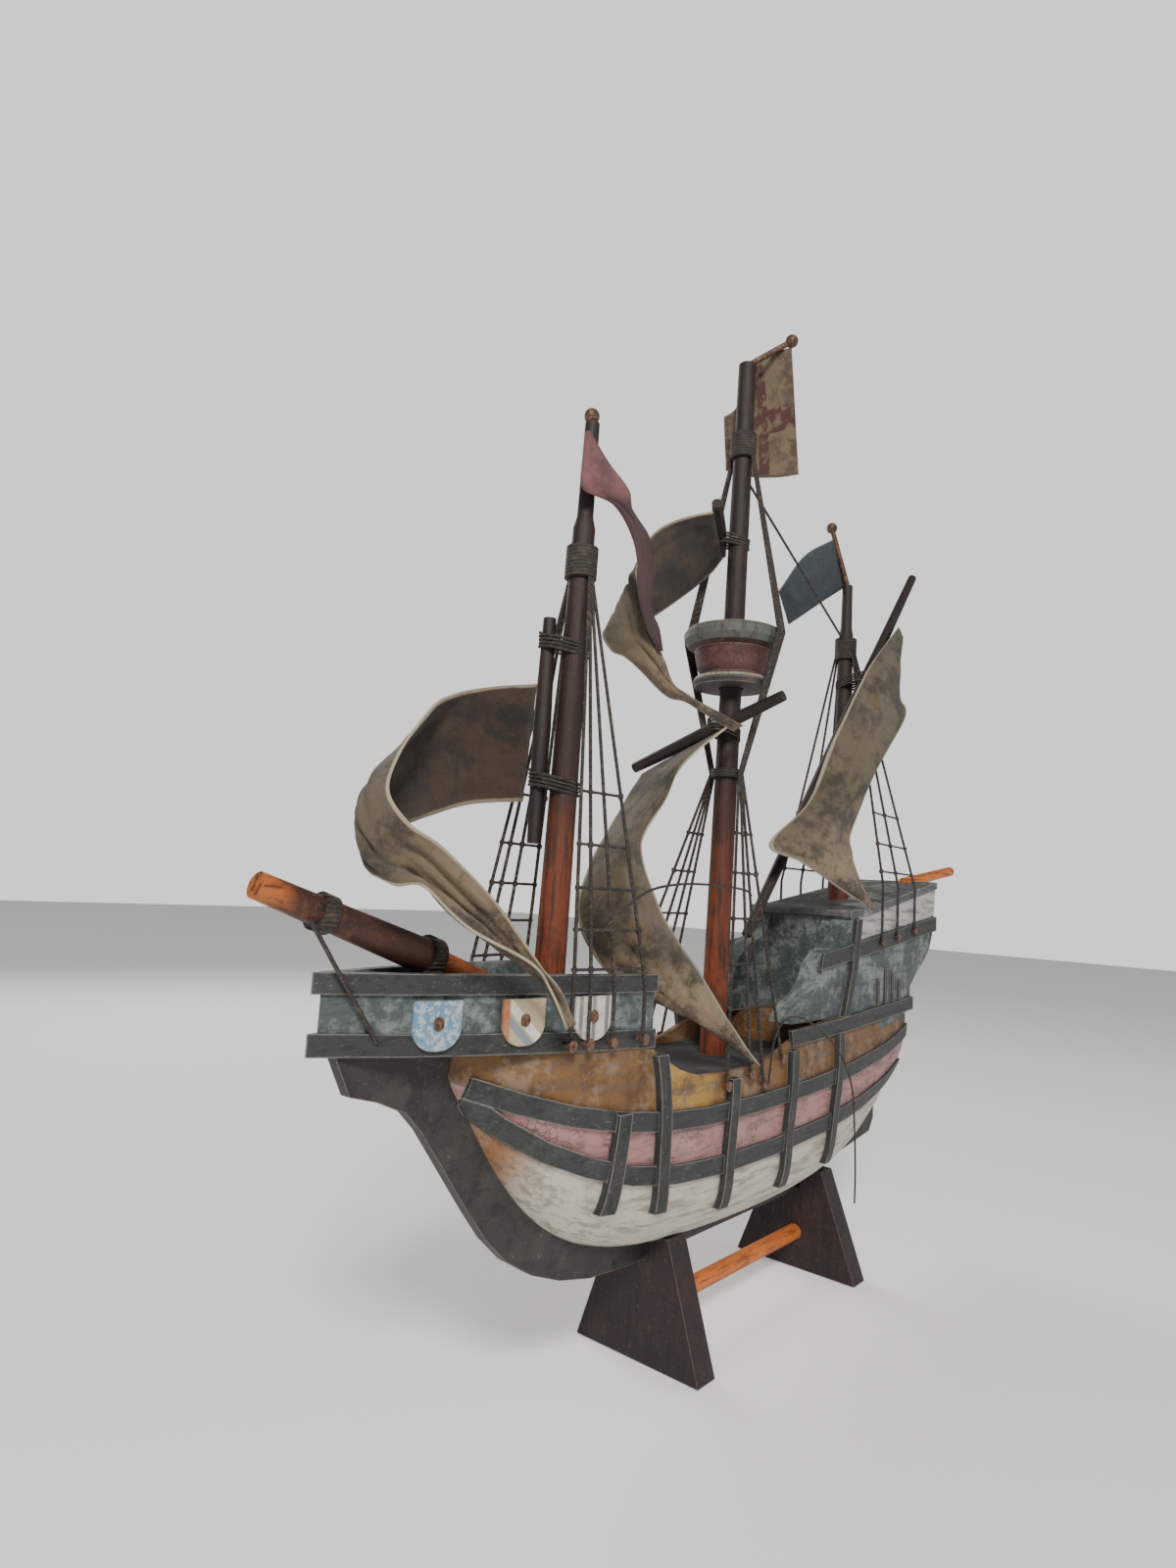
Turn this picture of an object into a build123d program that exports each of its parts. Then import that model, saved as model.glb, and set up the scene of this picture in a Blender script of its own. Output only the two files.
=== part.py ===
from build123d import *
from math import pi, radians, tan
import os

# A wooden model galleon on a two-board cradle. Millimetres, +Z up, bow towards -X, port side
# towards -Y. The origin is the middle of the front cradle board's foot, on the floor.

os.makedirs("parts", exist_ok=True)

# ---- driving dimensions -------------------------------------------------------------------
board_thick = 12.7        # half-inch softwood board
board_foot = 64.0
rear_foot = 69.0          # the rear board is a little wider at the floor
board_top = 28.8
board_high = 52.0
board_pitch = 141.4       # centre to centre of the two cradle boards
dowel_radius = 3.9
dowel_height = 18.2
keel_thick = 4.6
keel_under = 41.2         # underside of the keel above the floor
fit_gap = 0.35            # clearance of the cradle round the hull
hull_top = 137.0
deck_level = 119.0
deck_thick = 2.0
plank_thick = 2.6         # waist bulwark plank
wale_thick = 1.7
rider_thick = 3.3
rider_wide = 6.2
mast_radius = 6.2
pole_radius = 3.4
line_radius = 0.7
ratline_radius = 0.55
sail_thick = 1.0
castle_thick = 12.0       # sterncastle side boards are half-inch stock too
castle_half = 30.2        # half breadth over the sterncastle side boards
stern_half = 26.0         # the boards close in a little towards the stern
bow_sheer = 0.034         # rise of the forecastle's underside per mm towards the bow
rail_sheer = 0.015

# Hull stations: x, underside, half breadth, fullness of the bilge
stations = [
    (-124, 126.0, 3.4, 0.50),
    (-112, 111.5, 13.5, 0.50),
    (-95, 89.5, 21.5, 0.52),
    (-72, 69.0, 27.0, 0.62),
    (-40, 54.5, 30.4, 0.72),
    (0, 47.8, 31.8, 0.78),
    (60, 45.0, 32.0, 0.80),
    (120, 46.5, 31.6, 0.76),
    (165, 52.5, 29.6, 0.66),
    (200, 61.0, 26.6, 0.52),
    (228, 69.0, 22.0, 0.38),
]

# Mast lines: foot x, foot z, head x, head z
fore_line = (-74.5, 158.0, -68.9, 388.0)
main_line = (44.5, 120.5, 51.0, 474.0)
mizzen_line = (177.5, 195.0, 179.2, 392.0)


def save(name, shape):
    """Write one node, as a group of separate solids when it has several."""
    solids = shape.solids()
    for solid in solids:
        if solid.volume <= 0:
            raise ValueError(name)
    export_step(Compound(children=list(solids)), f"parts/{name}.step")


def mirror_y(shape):
    return shape.mirror(Plane.XZ)


def slab(outline, thick, y_mid=0.0):
    """A flat board with this side outline of (x, z) points."""
    wire = Polyline(*[(x, 0, z) for x, z in outline], close=True)
    return extrude(make_face(wire), thick / 2, dir=(0, 1, 0), both=True).moved(Location((0, y_mid, 0)))


def side_prism(outline, y_low, y_high):
    """The space between two Y planes with this side outline, used for trimming."""
    return slab(outline, y_high - y_low, (y_low + y_high) / 2)


def block(low, high):
    size = [b - a for a, b in zip(low, high)]
    middle = [(a + b) / 2 for a, b in zip(low, high)]
    return Pos(*middle) * Box(*size)


def rod(start, end, radius, end_radius=None):
    """A straight round rod or cord between two points, tapered if end_radius is given."""
    a, b = Vector(*start), Vector(*end)
    plane = Plane(origin=a, z_dir=b - a)
    length = (b - a).length
    if end_radius is None or end_radius == radius:
        return plane.location * Cylinder(radius, length, align=(Align.CENTER, Align.CENTER, Align.MIN))
    cone = Cone(radius, end_radius, length, align=(Align.CENTER, Align.CENTER, Align.MIN))
    return plane.location * cone


def ball(centre, radius):
    return Pos(*centre) * Sphere(radius)


def ring(centre, axis, inner, outer, height):
    """A flat-sided ring about an axis, such as a band of lashing."""
    a = Vector(*axis).normalized()
    start = Vector(*centre) - a * (height / 2)
    end = Vector(*centre) + a * (height / 2)
    return rod(tuple(start), tuple(end), outer) - rod(tuple(start - a), tuple(end + a), inner)


def on_mast(line, height):
    """The point on a mast's centre line at this height."""
    foot_x, foot_z, head_x, head_z = line
    share = (height - foot_z) / (head_z - foot_z)
    return (foot_x + (head_x - foot_x) * share, 0.0, height)


def ribbon(edge_a, edge_b, thick=sail_thick):
    """A thin curved sheet as one closed solid, between two edges with the same count of points."""
    wires = []
    count = len(edge_a)
    for i in range(count):
        before, after = max(i - 1, 0), min(i + 1, count - 1)
        a, b = Vector(*edge_a[i]), Vector(*edge_b[i])
        run_a = Vector(*edge_a[after]) - Vector(*edge_a[before])
        run_b = Vector(*edge_b[after]) - Vector(*edge_b[before])
        half = (b - a).cross(run_a + run_b).normalized() * (thick / 2)
        corners = [tuple(a - half), tuple(b - half), tuple(b + half), tuple(a + half)]
        wires.append(Wire(Polyline(*corners, close=True).edges()))
    return Solid.make_loft(wires, True)


# ---- hull ---------------------------------------------------------------------------------
def sheer_top(x):
    """Height of the hull's top edge, which rises under the forecastle."""
    return hull_top + max(0.0, -45.0 - x) * bow_sheer


def hull_form(grow=0.0):
    """The carved hull, or the same form grown outwards, lofted through its stations."""
    sections = []
    for x, under, half, full in stations:
        top = sheer_top(x)
        rise = top - under
        points = [
            (full * 0.60 * half + 0.45 * grow, under + 0.07 * rise - 0.85 * grow),
            (full * 1.06 * half + 0.80 * grow, under + 0.22 * rise - 0.60 * grow),
            ((0.62 + 0.40 * full) * half + 0.97 * grow, under + 0.45 * rise - 0.15 * grow),
            (half + grow, under + 0.70 * rise),
            (0.985 * half + grow, top),
        ]
        port = [(x, -y, z) for y, z in reversed(points)]
        starboard = [(x, y, z) for y, z in points]
        curve = Spline(*port, (x, 0, under - grow), *starboard)
        lid = Line(starboard[-1], port[0])
        sections.append(Wire([curve, lid]))
    return Solid.make_loft(sections)


# Sheer of the hull block's top: full height under both castles, cut down to the deck between
block_profile = [
    (-140, 20), (250, 20), (250, hull_top + 1), (104, hull_top + 1), (104, deck_level),
    (-46.4, deck_level), (-46.4, hull_top + 9), (-140, hull_top + 9),
]
# Bulwark planks of the waist rise in a curve to each castle
bulwark_profile = [
    (-46.4, deck_level), (104, deck_level), (104, 136.8), (84, 134.0), (62, 129.5), (48, 125.4),
    (34, 122.4),
    (8, 121.6), (-14, 122.8), (-28, 126.6), (-38, 131.5), (-46.4, hull_top - 0.2),
]
waist_profile = [
    (-46.4, deck_level), (104, deck_level), (104, deck_level + deck_thick),
    (-46.4, deck_level + deck_thick),
]

stem_profile = [
    (-170, 141.1), (-163.5, 128.4), (-152, 125.2), (-141, 120.4), (-134, 113.5), (-110.1, 82.6),
    (-101, 71.6), (-90, 61.6), (-76, 53.2), (-60, 47.0), (-42, 43.0), (-17, keel_under),
    (118, keel_under), (150, 47.6), (226, 56.8), (231.6, 64.0), (231.6, 124.0), (200, 124.0),
    (200, 70.0), (100, 60.0), (-30, 70.0), (-80, 110.0), (-100, 138.7),
]


def keel_and_stem(hull):
    return slab(stem_profile, keel_thick) - hull


def hull_block(hull):
    return hull & side_prism(block_profile, -40, 40)


def cradle_board(x_mid, foot, hull_clear, dowel):
    """A tapered cradle board with the hull's seat, the keel's slot and the dowel's blind hole."""
    outline = [(-foot / 2, 0), (foot / 2, 0), (board_top / 2, board_high),
               (-board_top / 2, board_high)]
    wire = Polyline(*[(x_mid, y, z) for y, z in outline], close=True)
    board = extrude(make_face(wire), board_thick / 2, dir=(1, 0, 0), both=True)
    slot_half = keel_thick / 2 + fit_gap
    slot = block((x_mid - 20, -slot_half, keel_under - fit_gap), (x_mid + 20, slot_half, 80))
    return board - slot - hull_clear - dowel


def stand_dowel():
    inset = board_thick / 2 - 8.0
    return rod((inset, 0, dowel_height), (board_pitch - inset, 0, dowel_height), dowel_radius)


def wale_band(line, wide):
    """The side band of a wale: its centre line with half the width above and below."""
    upper = [(x, z + wide / 2) for x, z in line]
    lower = [(x, z - wide / 2) for x, z in reversed(line)]
    return upper + lower


upper_wale_line = [(-119, 126.5), (-104, 121.2), (-84, 115.6), (-62, 111.4), (-36, 108.0), (-8, 106.2),
                   (30, 105.8), (80, 106.8), (130, 109.6), (180, 114.6), (226, 121.4)]
lower_wale_line = [(-119, 122.0), (-106, 112.0), (-90, 102.8), (-72, 95.6), (-50, 89.4), (-24, 85.6),
                   (8, 83.8), (50, 83.8), (100, 85.4), (150, 89.2), (195, 94.6), (226, 99.6)]

# Riders: top x and z, foot x and z; each is a flat strap bent down the side
riders = [
    (-62, 114.5, -59, 76.0), (-43, 134.0, -32, 72.0), (9, 119.6, 12, 64.6), (62, 126.0, 63, 63.2),
    (112, 130.4, 112, 64.6),
]


def rider_band(top_x, top_z, foot_x, foot_z):
    half = rider_wide / 2
    return [(top_x - half, top_z), (foot_x - half, foot_z), (foot_x + half, foot_z), (top_x + half, top_z)]


# ---- forecastle ---------------------------------------------------------------------------
def castle_plan(inset):
    """Half plan of the forecastle as points from the rear corner to the tip, moved inwards."""
    rear_half, tip_x = 29.0 - inset, -175.5 + 2.2 * inset
    return [(-45.0, rear_half), (-72, 26.2 - inset), (-100, 21.6 - inset), (-128, 15.4 - inset),
            (-152, 8.6 - inset), (tip_x, 0.0)]


def castle_layer(inset, low, high, low_slope=bow_sheer, high_slope=rail_sheer):
    """The forecastle's plan between two heights given at its rear, each rising to the bow."""
    half = [(x, y) for x, y in castle_plan(inset) if y > 0 or x < -150]
    right = [(x, y, low - 5) for x, y in half]
    left = [(x, -y, low - 5) for x, y in reversed(half[:-1])]
    column = extrude(make_face(Polyline(*right, *left, close=True)), high - low + 20, dir=(0, 0, 1))
    front, run = -190.0, 145.0
    outline = [(-45, low), (front, low + run * low_slope), (front, high + run * high_slope), (-45, high)]
    return column & side_prism(outline, -45, 45)


castle_low = hull_top
castle_high = 164.4
castle_floor = 158.6
rail_out = 1.6
panel_thick = 2.6
shield_thick = 1.3


def forecastle_deck():
    return castle_layer(panel_thick, castle_low, castle_floor, high_slope=0.0)


def forecastle_wall():
    inside = castle_layer(panel_thick, castle_low - 1, castle_high + 1)
    return castle_layer(0, castle_low, castle_high) - inside


def forecastle_rail(low, high, slope):
    inside = castle_layer(0, low - 1, high + 1, slope, slope)
    return castle_layer(-rail_out, low, high, slope, slope) - inside


def shield(x_mid, y_face, slant):
    """One heraldic shield, standing proud of the wall with its back against the panel."""
    half, top, shoulder, tip = 8.4, 157.6, 148.0, 142.0
    outline = Polyline((-half, top), (-half, shoulder), close=False)
    left = ThreePointArc((-half, shoulder), (-5.6, 143.6), (0, tip))
    right = ThreePointArc((0, tip), (5.6, 143.6), (half, shoulder))
    side = Polyline((half, shoulder), (half, top), (-half, top))
    face = make_face(outline + left + right + side)
    plate = extrude(face, shield_thick)
    return Pos(x_mid, y_face, 0) * Rot(0, 0, slant) * Rot(90, 0, 0) * plate


# Middle of each port shield's back: x, y and the slant of the wall there
shield_places = [(-141.0, -13.5, -15.8), (-109.6, -21.2, -12.5), (-79.8, -26.65, -9.3)]


def shields():
    made = []
    for x, y, slant in shield_places:
        port = shield(x, y, slant)
        made += [port, mirror_y(port)]
    return Compound(children=made)


# ---- sterncastle --------------------------------------------------------------------------
# Underside of the poop deck, which rests on the side boards
poop_under = [(131, 188.0), (150, 189.2), (268, 208.3)]
# The stern's raking edge, from the counter up to the deck
stern_edge = [(222, 134.4), (221, 148), (233, 156), (247, 163.5), (256, 170), (262, 181), (266, 207.9)]
castle_side_profile = [(62, deck_level + deck_thick), (150, 121)] + stern_edge + [
    (150, 189.2), (131, 188.0), (128.5, 181.5), (121, 174.6), (106, 169.4),
    (98.5, 164.6), (94, 157), (86, 150), (74, 145), (66, 139.6),
]
poop_thick = 4.4
poop_lip = 0.6            # overhang of the poop deck past the side boards
lower_strip_profile = [(62, 127.6), (125, 129.9), (222, 134.5), (222, 142.0), (125, 137.4), (60, 134.8)]
upper_strip_profile = [(93, 161.8), (152, 168.9), (264, 181.4), (264, 190.2), (152, 177.0), (95, 170.0)]
quarter_strap_profile = [(132.0, 187.6), (127.0, 160.0), (118.0, 136.5), (124.5, 136.5), (133.5, 160.0),
                         (138.6, 187.9)]


def plan_column(half_plan):
    """The full breadth inside this half plan, over the whole height."""
    starboard = [(x, y, 90) for x, y in half_plan]
    port = [(x, -y, 90) for x, y in reversed(half_plan)]
    return extrude(make_face(Polyline(*starboard, *port, close=True)), 150, dir=(0, 0, 1))


def side_column(plan_outer, plan_inner):
    """The space between two plan lines on the port side, over the whole height."""
    points = plan_outer + list(reversed(plan_inner))
    wire = Polyline(*[(x, -y, 90) for x, y in points], close=True)
    return extrude(make_face(wire), 130, dir=(0, 0, 1))


castle_plan_outer = [(40, castle_half), (150, castle_half), (285, stern_half)]
castle_plan_inner = [(40, castle_half - castle_thick), (150, castle_half - castle_thick),
                     (285, stern_half - castle_thick)]


def moved_plan(plan, outwards):
    return [(x, y + outwards) for x, y in plan]


def castle_side(hull, bulwark):
    """Port side board of the sterncastle, sawn in an ogee at the front."""
    column = side_column(castle_plan_outer, castle_plan_inner)
    return (column & side_prism(castle_side_profile, -60, 0)) - hull - bulwark


def outer_strip(profile, proud):
    """A thin strip nailed on the side board's outer face."""
    column = side_column(moved_plan(castle_plan_outer, proud), castle_plan_outer)
    return column & side_prism(profile, -60, 0)


def lower_strip(hull, side):
    """The strip that covers the joint of the quarter board and the hull."""
    outer = [(55, 33.8), (120, 33.5), (165, 31.8), (235, 29.2)]
    column = side_column(outer, moved_plan(castle_plan_outer, -3.0))
    return (column & side_prism(lower_strip_profile, -60, 0)) - hull - side


def poop_deck(mizzen, boomkin_spar):
    """Deck over the cabin with a rounded front edge, tapered to the stern."""
    (front_x, front_z), (knee_x, knee_z), (stern_x, stern_z) = poop_under
    outline = [
        (front_x - 3, front_z + 0.9), (front_x - 2, front_z), (front_x, front_z), (knee_x, knee_z),
        (stern_x, stern_z), (stern_x, stern_z + poop_thick), (knee_x, knee_z + poop_thick),
        (front_x, front_z + 4.2), (front_x - 2.4, front_z + 3.6), (front_x - 3, front_z + 2.6),
    ]
    column = plan_column(moved_plan(castle_plan_outer, poop_lip))
    return (column & slab(outline, 80)) - mizzen - boomkin_spar


def cabin_bulkhead():
    half = castle_half - castle_thick - 0.1
    return block((132, -half, hull_top + 0.2), (136, half, 187.8))


def transom_board(boomkin_spar):
    """Slanting board that closes the stern between the two side boards."""
    outline = [(216, hull_top + 0.2), (222, hull_top + 0.2)] + stern_edge[1:-1] + [
        (265.9, 207.6), (260.9, 206.8), (257.2, 182.5), (252.4, 174), (244.5, 168.2), (230.5, 160.8),
        (216, 151),
    ]
    column = plan_column(moved_plan(castle_plan_inner, -0.1))
    return (column & slab(outline, 60)) - boomkin_spar


window_bars = [(167.0, 155.0), (178.0, 161.0), (189.0, 158.5), (200.0, 153.5)]


def quarter_window():
    """Pointed window of four upright bars of this x and crown height, nailed on the port quarter."""
    column = side_column(moved_plan(castle_plan_outer, 1.4), castle_plan_outer)
    bars = []
    for x, crown in window_bars:
        foot = 139.9 + 0.047 * (x - window_bars[0][0])
        bar = [(x - 1.2, foot), (x + 1.2, foot), (x + 1.2, crown - 1.2), (x, crown), (x - 1.2, crown - 1.2)]
        bars.append(column & side_prism(bar, -60, 0))
    return Compound(children=bars)


# ---- spars --------------------------------------------------------------------------------
def mast(line, low_radius, high_radius, pole_from=None):
    head = (line[2], 0, line[3])
    foot = (line[0], 0, line[1])
    if pole_from is None:
        return rod(foot, head, low_radius, high_radius)
    shoulder = on_mast(line, pole_from)
    neck = on_mast(line, pole_from + 5)
    lower = rod(foot, shoulder, low_radius, high_radius)
    taper = rod(shoulder, neck, high_radius, pole_radius)
    return lower + taper + rod(neck, head, pole_radius, pole_radius * 0.9)


def mast_axis(line):
    return (line[2] - line[0], 0, line[3] - line[1])


bowsprit_tip = (-200.0, 0, 191.5)
bowsprit_shoulder = (-133.0, 0, 169.0)
bowsprit_heel = (-105.0, 0, castle_floor + 1.6)


def bowsprit():
    thick = rod(bowsprit_tip, bowsprit_shoulder, 4.1, 6.0)
    thin = rod(bowsprit_shoulder, bowsprit_heel, 4.4, 3.0)
    return (thick + thin) - block((-150, -20, 140), (-80, 20, castle_floor))


def crows_nest():
    """The round top: dark foot ring, waisted bowl and rolled rim, turned from one block."""
    low_z, high_z = 299.5, 328.5
    x_mid = on_mast(main_line, 314)[0]
    outline = [
        (0, low_z), (18.5, low_z), (19.4, low_z + 2.4), (18.4, low_z + 4.6), (15.6, low_z + 6.0),
        (17.4, low_z + 9.5), (18.8, low_z + 15.5), (19.2, low_z + 18.6), (22.6, low_z + 20.6),
        (24.6, low_z + 23.6), (24.8, low_z + 26.6), (23.4, high_z), (20.8, high_z),
        (20.2, high_z - 4.0), (0, high_z - 4.0),
    ]
    wire = Polyline(*[(x, 0, z) for x, z in outline], close=True)
    turned = revolve(make_face(wire), Axis.Z).moved(Location((x_mid, 0, 0)))
    foot, head = on_mast(main_line, low_z - 5), on_mast(main_line, high_z + 5)
    return turned - rod(foot, head, mast_radius + 0.2)


# ---- flags and their pins -----------------------------------------------------------------
fore_ball = (-69.6, 0.0, 391.0)
main_ball = (61.0, -20.0, 485.7)
mizzen_ball = (167.4, 6.0, 426.8)
pin_radius = 1.5
ball_radius = 3.3


def finials():
    main_head = (main_line[2], 0, main_line[3])
    mizzen_head = (mizzen_line[2], 0, mizzen_line[3])
    made = [ball(fore_ball, ball_radius)]
    for head, tip in ((main_head, main_ball), (mizzen_head, mizzen_ball)):
        made.append(rod(head, tip, pin_radius) + ball(tip, ball_radius))
    return Compound(children=made)


fore_flag_hoist = [(-77.0, -4.0, 380.0), (-79.0, -5.0, 367.0), (-79.5, -6.5, 354.0),
                   (-64.0, -10.0, 352.0), (-55.0, -14.0, 339.0), (-54.0, -17.0, 323.0),
                   (-53.0, -18.0, 311.0), (-46.0, -18.0, 302.0), (-39.0, -18.0, 296.0)]
fore_flag_fly = [(-73.4, -2.8, 382.0), (-66.0, -7.0, 371.0), (-55.0, -10.0, 362.0),
                 (-54.0, -12.0, 353.0), (-45.0, -15.0, 343.0), (-46.0, -18.0, 325.0),
                 (-47.0, -19.0, 312.0), (-41.0, -19.0, 305.0), (-37.0, -19.0, 296.0)]
main_flag_top = [(50.6, 13.0, 449.4), (58.0, 10.0, 457.5), (61.7, 4.0, 477.9), (60.0, -8.0, 481.9),
                 (61.1, -20.0, 482.5)]
main_flag_foot = [(54.8, 13.0, 421.0), (62.9, 10.0, 421.2), (70.2, 4.0, 420.9), (74.9, -7.0, 420.0),
                  (80.8, -16.0, 421.6)]
mizzen_flag_hoist = [(167.5, 5.0, 419.5), (142.2, 11.0, 401.9), (123.6, 17.0, 375.5)]
mizzen_flag_foot = [(185.0, 3.5, 394.5), (164.6, 10.0, 379.3), (136.9, 17.0, 358.8)]


# ---- yards and sails ----------------------------------------------------------------------
# The fore yard has slipped and hangs almost upright beside the mast.
fore_yard_ends = ((-78.5, 8.0, 303.0), (-80.5, 7.0, 212.0))
main_yard_ends = ((36.5, -36.0, 290.5), (33.0, 47.0, 259.0))
topsail_yard_ends = ((19.9, -5.1, 385.6), (54.0, 13.2, 374.1))
mizzen_yard_ends = ((233.0, -20.0, 410.0), (69.0, -2.0, 177.0))
yard_radius = 3.6

fore_sail_upper = [(-83.4, 8.0, 275.0), (-98.4, 15.0, 271.7), (-117.1, 16.0, 265.3),
                   (-135.6, 8.0, 255.5), (-157.6, -6.0, 236.8), (-170.6, -18.0, 221.9),
                   (-167.9, -26.0, 211.9), (-157.1, -30.0, 205.2), (-137.4, -33.5, 189.9),
                   (-119.5, -35.5, 171.6), (-107.9, -35.0, 162.7), (-96.0, -33.0, 149.5)]
fore_sail_lower = [(-87.2, 8.0, 227.7), (-107.1, 15.0, 224.8), (-125.1, 16.0, 218.6),
                   (-146.1, 8.0, 212.2), (-167.2, -5.0, 205.3), (-171.5, -14.0, 197.5),
                   (-167.8, -21.0, 193.6), (-160.1, -26.0, 193.5), (-145.4, -31.5, 181.6),
                   (-121.4, -36.5, 170.2), (-113.7, -37.0, 161.9), (-103.7, -36.0, 149.1)]
main_sail_port = [(33.0, -8.0, 276.7), (15.4, 4.0, 257.1), (5.4, 6.0, 239.2), (-17.0, 2.0, 216.2),
                  (-17.7, -8.0, 192.3), (-11.7, -15.0, 176.6), (-4.7, -22.0, 163.9), (1.6, -29.5, 149.7),
                  (7.8, -35.0, 138.2), (23.5, -38.0, 123.6)]
main_sail_starboard = [(34.3, 43.0, 255.8), (14.2, 36.0, 240.7), (-5.7, 30.0, 224.4),
                       (-24.9, 24.0, 207.3), (-38.5, 18.0, 192.0), (-41.8, 15.0, 182.5),
                       (-37.9, 12.0, 171.6), (-33.7, 5.0, 162.0), (-25.6, -6.0, 154.0),
                       (-10.6, -21.0, 145.7)]
topsail_upper = [(17.5, -4.5, 380.3), (6.4, 8.0, 375.3), (-8.0, 12.0, 363.7), (-26.3, 6.0, 342.3),
                 (-35.5, -4.0, 321.2), (-37.8, -12.0, 305.1), (-28.8, -18.0, 284.7),
                 (-4.7, -20.0, 278.1), (34.9, -15.5, 277.5)]
topsail_lower = [(48.0, 9.0, 369.0), (43.6, 16.0, 358.1), (-2.2, 20.0, 323.0), (-39.0, 12.0, 309.0),
                 (-44.4, 3.0, 297.3), (-41.3, -5.0, 292.7), (-28.5, -14.0, 280.1), (-14.2, -18.0, 278.2),
                 (27.1, -15.0, 273.3)]
mizzen_sail_head = [(205.3, -22.5, 369.2), (168.8, -21.5, 338.3), (144.0, -20.0, 308.8),
                    (122.5, -18.0, 279.0), (104.9, -15.0, 247.3), (67.2, -14.0, 223.1),
                    (86.7, -22.0, 215.1), (115.9, -29.0, 203.6), (148.7, -33.0, 193.8)]
mizzen_sail_leech = [(208.2, -24.0, 363.5), (198.4, -27.0, 342.0), (190.3, -30.0, 321.7),
                     (196.0, -31.0, 309.5), (155.3, -29.0, 266.6), (137.5, -25.0, 234.4),
                     (134.9, -27.0, 223.5), (135.1, -30.0, 212.9), (151.7, -34.0, 192.8)]


def yard(ends):
    """A spar tapered from its middle to both ends."""
    a, b = ends
    middle = tuple((p + q) / 2 for p, q in zip(a, b))
    return rod(middle, a, yard_radius, yard_radius * 0.72) + rod(middle, b, yard_radius, yard_radius * 0.72)


# ---- rigging ------------------------------------------------------------------------------
fore_nails = [(-91.0, -27.2, 141.0), (-83.0, -28.4, 141.0), (-71.5, -30.2, 141.0), (-55.0, -31.8, 141.0)]
main_nails = [(3.0, -34.0, 117.0), (22.0, -34.0, 119.6), (34.0, -34.0, 114.0), (50.0, -34.0, 123.6)]
mizzen_nails = [(167.0, -32.1, 174.7), (191.0, -31.3, 177.6), (220.0, -30.4, 181.0)]
fore_turn = 161.0         # height at which the fore shrouds pass over the rail
mizzen_turn = 207.0       # and the mizzen shrouds over the poop deck's edge
gather_height = 256.0


def shroud_lines(paths, levels):
    """Fused shrouds along these polylines, with ratlines tied across their last runs."""
    made = None
    for path in paths:
        for a, b in zip(path, path[1:]):
            piece = rod(a, b, line_radius)
            made = piece if made is None else made + piece
    for level in levels:
        points = []
        for path in paths:
            start, end = path[-2], path[-1]
            share = (start[2] - level) / (start[2] - end[2])
            points.append(tuple(a + (b - a) * share for a, b in zip(start, end)))
        for a, b in zip(points, points[1:]):
            made += rod(a, b, ratline_radius)
    return made


def both_sides(port):
    return Compound(children=[port, mirror_y(port)])


def fore_shrouds():
    head = (on_mast(fore_line, 327.0)[0], -4.6, 327.0)
    paths = [[(x, y, z), (x, y, fore_turn), head] for x, y, z in fore_nails]
    return both_sides(shroud_lines(paths, (167.0, 181.0, 196.0, 212.0, 232.0)))


def main_shrouds():
    """Main shrouds stand off round the top's rim and are gathered again under it."""
    paths = []
    for i, nail in enumerate(main_nails):
        fan = 2.0 * i - 3.0
        head = (on_mast(main_line, 426.0)[0] + 0.3 * fan, -5.2, 426.0)
        rim = (on_mast(main_line, 324.0)[0] + fan, -27.0, 325.5)
        gather = (on_mast(main_line, gather_height)[0] + 0.5 * fan, -8.2, gather_height)
        paths.append([head, rim, gather, nail])
    return both_sides(shroud_lines(paths, (147.0, 166.0, 186.0, 207.0, 226.0)))


def mizzen_shrouds():
    mid = on_mast(mizzen_line, 350.0)[0]
    paths = []
    for i, (x, y, z) in enumerate(mizzen_nails):
        head = (mid + 1.9 * (i - 1), -4.8, 350.0)
        paths.append([(x, y, z), (x, y, mizzen_turn), head])
    return both_sides(shroud_lines(paths, (215.0, 231.0, 249.0)))


def stays():
    """The stay held tight between two mastheads, and the bobstay down to the rail."""
    made = [rod((55.5, 0, 412.0), (173.9, 0, 357.0), line_radius)]
    made.append(rod((-184.0, -4.0, 182.2), (-159.3, -7.9, 145.2), line_radius))
    return Compound(children=made)


def nail(point, outward, shank=5.0):
    """A flat-headed nail driven in from the side, its head proud."""
    x, y, z = point
    side = -1 if y < 0 else 1
    inner = (x, y - side * shank, z)
    face = (x, y, z)
    return rod(inner, face, 0.9) + rod(face, (x, y + side * outward, z), 2.1)


def rail_nails():
    """Nails that hold the shrouds and the shields."""
    made = []
    for x, y, z in fore_nails + main_nails + mizzen_nails:
        for side in (-1, 1):
            made.append(nail((x, side * (abs(y) + line_radius), z), 0.8))
    for x, y, slant in shield_places:
        for side in (-1, 1):
            face = abs(y) + shield_thick
            made.append(nail((x, side * face, 150.5), 0.6))
    return Compound(children=made)


def lashings():
    """Bands of waxed thread round the mastheads, the bowsprit and the main mast's gather."""
    made = []
    for line, height, radius in ((fore_line, 327, 5.0), (main_line, 428, 5.2), (mizzen_line, 351, 4.9)):
        made.append(ring(on_mast(line, height), mast_axis(line), radius, radius + 1.6, 13.0))
    axis = tuple(b - a for a, b in zip(bowsprit_tip, bowsprit_shoulder))
    for share, radius in ((0.34, 4.8), (0.97, 6.05)):
        centre = tuple(a + (b - a) * share for a, b in zip(bowsprit_tip, bowsprit_shoulder))
        made.append(ring(centre, axis, radius, radius + 1.3, 5.0))
    made.append(ring(on_mast(main_line, gather_height), mast_axis(main_line), 5.9, 7.6, 4.0))
    return Compound(children=made)


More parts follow.
